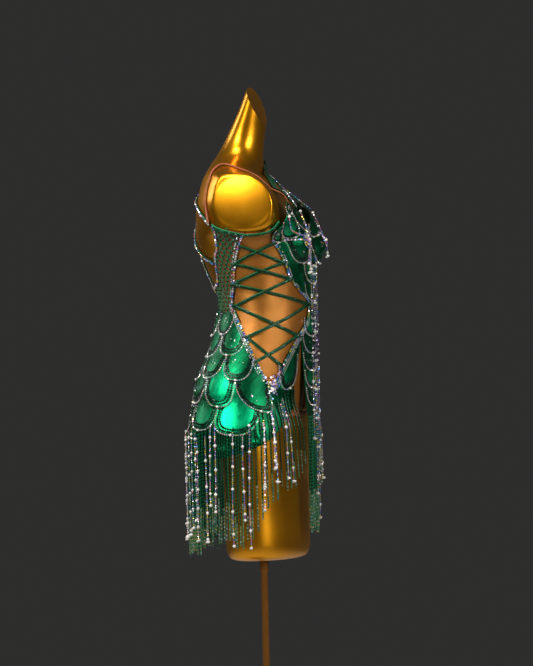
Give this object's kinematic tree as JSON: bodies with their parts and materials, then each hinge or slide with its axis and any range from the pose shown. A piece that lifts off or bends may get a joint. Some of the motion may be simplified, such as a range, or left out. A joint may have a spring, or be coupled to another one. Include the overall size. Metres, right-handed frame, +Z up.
{
  "type": "salsa dance dress on a limbless dress form",
  "caption": "Fringed emerald salsa dance dress with laced open sides, bust cups, net back and asymmetric straps, worn on a gold limbless dress form on a pole stand.",
  "frame": {"origin": "middle of the round plate's underside, on the pole's axis", "axes": "+Z up; the wearer faces -Y; the wearer's right side is -X"},
  "size_m": [0.3752, 0.34, 1.5146],
  "materials": {
    "form_gold": "glossy gold lacquer",
    "stand_metal": "dark bronzed steel",
    "satin": "emerald satin",
    "net": "green diamond net set with dark stones",
    "nude_mesh": "nude stretch mesh",
    "nude_elastic": "nude elastic",
    "lacing_cord": "green cord set with dark stones",
    "crystal": "cut clear and rainbow-coated crystal",
    "fringe_beads": "green and clear bead strings"
  },
  "bodies": {
    "root": {"dress_form": "form_gold", "stand_pole": "stand_metal", "stand_base": "stand_metal", "front_panel": "satin", "skirt_panel": "satin", "nude_hem_band": "nude_elastic", "cup_right": "satin", "nude_side_right": "nude_mesh", "net_right": "net", "underarm_band_right": "satin", "lacing_right_a": "lacing_cord", "lacing_right_b": "lacing_cord", "brooch_right": "crystal", "cup_left": "satin", "nude_side_left": "nude_mesh", "net_left": "net", "underarm_band_left": "satin", "lacing_left_a": "lacing_cord", "lacing_left_b": "lacing_cord", "brooch_left": "crystal", "front_strap_wide": "satin", "front_strap_narrow": "satin", "back_strap_upper": "satin", "back_strap_middle": "satin", "back_strap_lower": "satin", "nude_shoulder_strap": "nude_elastic", "fringe_skirt": "fringe_beads", "fringe_front": "fringe_beads"}
  },
  "joints": []
}
